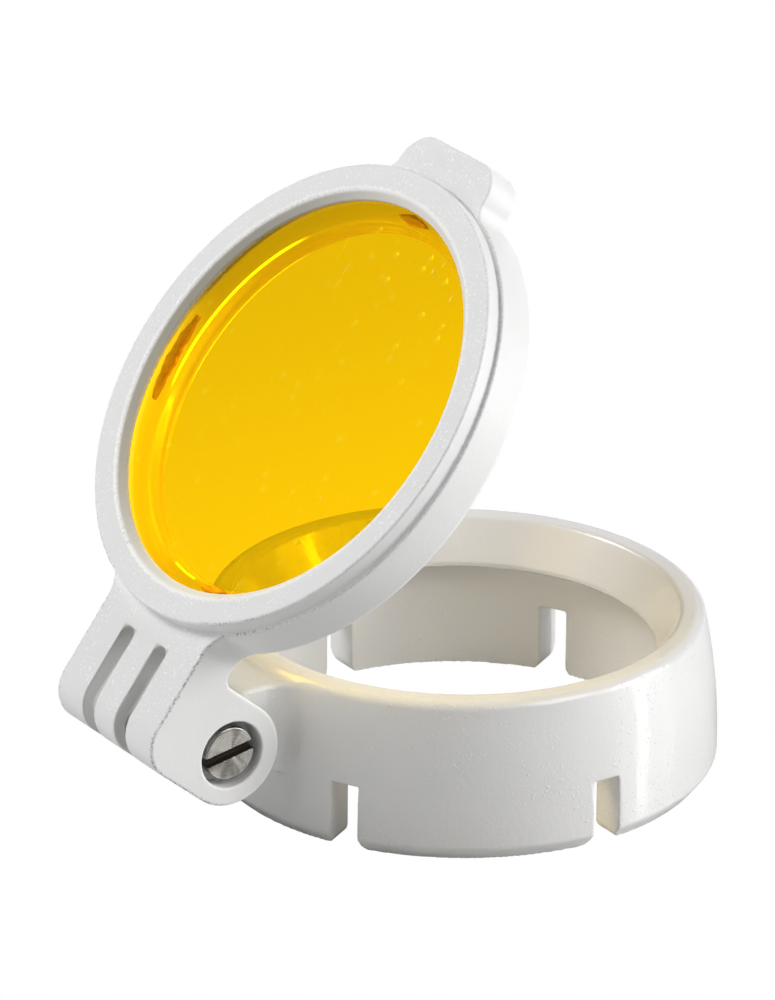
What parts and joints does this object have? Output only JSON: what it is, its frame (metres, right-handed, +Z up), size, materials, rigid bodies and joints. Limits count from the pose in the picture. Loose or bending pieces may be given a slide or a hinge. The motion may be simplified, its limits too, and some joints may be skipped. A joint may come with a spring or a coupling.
{
  "type": "flip-up lamp filter",
  "caption": "Yellow filter in a white hinged frame that flips up from a slotted push-on clip collar, held by a slotted hinge screw.",
  "frame": {"origin": "on the collar's axis, in the plane of its bottom rim", "axes": "+Z up along the collar's axis, the hinge on the -X side with its axis along Y, the screw's head facing -Y"},
  "size_m": [0.0471, 0.036, 0.045],
  "materials": {
    "white_paint": "white stove enamel, slightly uneven, satin to glossy",
    "yellow_filter": "clear saturated yellow, polished",
    "cream_plastic": "smooth, satin",
    "amber_cement": "hardened cement, glossy",
    "nickel_steel": "nickel-plated, turned face",
    "brass": "plain machined"
  },
  "bodies": {
    "collar": {"clip_collar": "white_paint"},
    "filter_flap": {"filter_frame": "white_paint", "yellow_filter": "yellow_filter", "retaining_ring": "cream_plastic", "cement_dab_1": "amber_cement", "cement_dab_2": "amber_cement", "cement_dab_3": "amber_cement", "cement_dab_4": "amber_cement", "hinge_screw": "nickel_steel", "threaded_insert": "brass"}
  },
  "joints": [
    {"name": "filter_hinge", "type": "hinge", "parent": "collar", "child": "filter_flap", "pos_m": [-0.0226, 0, 0.0078], "axis": [0, -1, 0], "range_deg": [-50, 65]}
  ]
}
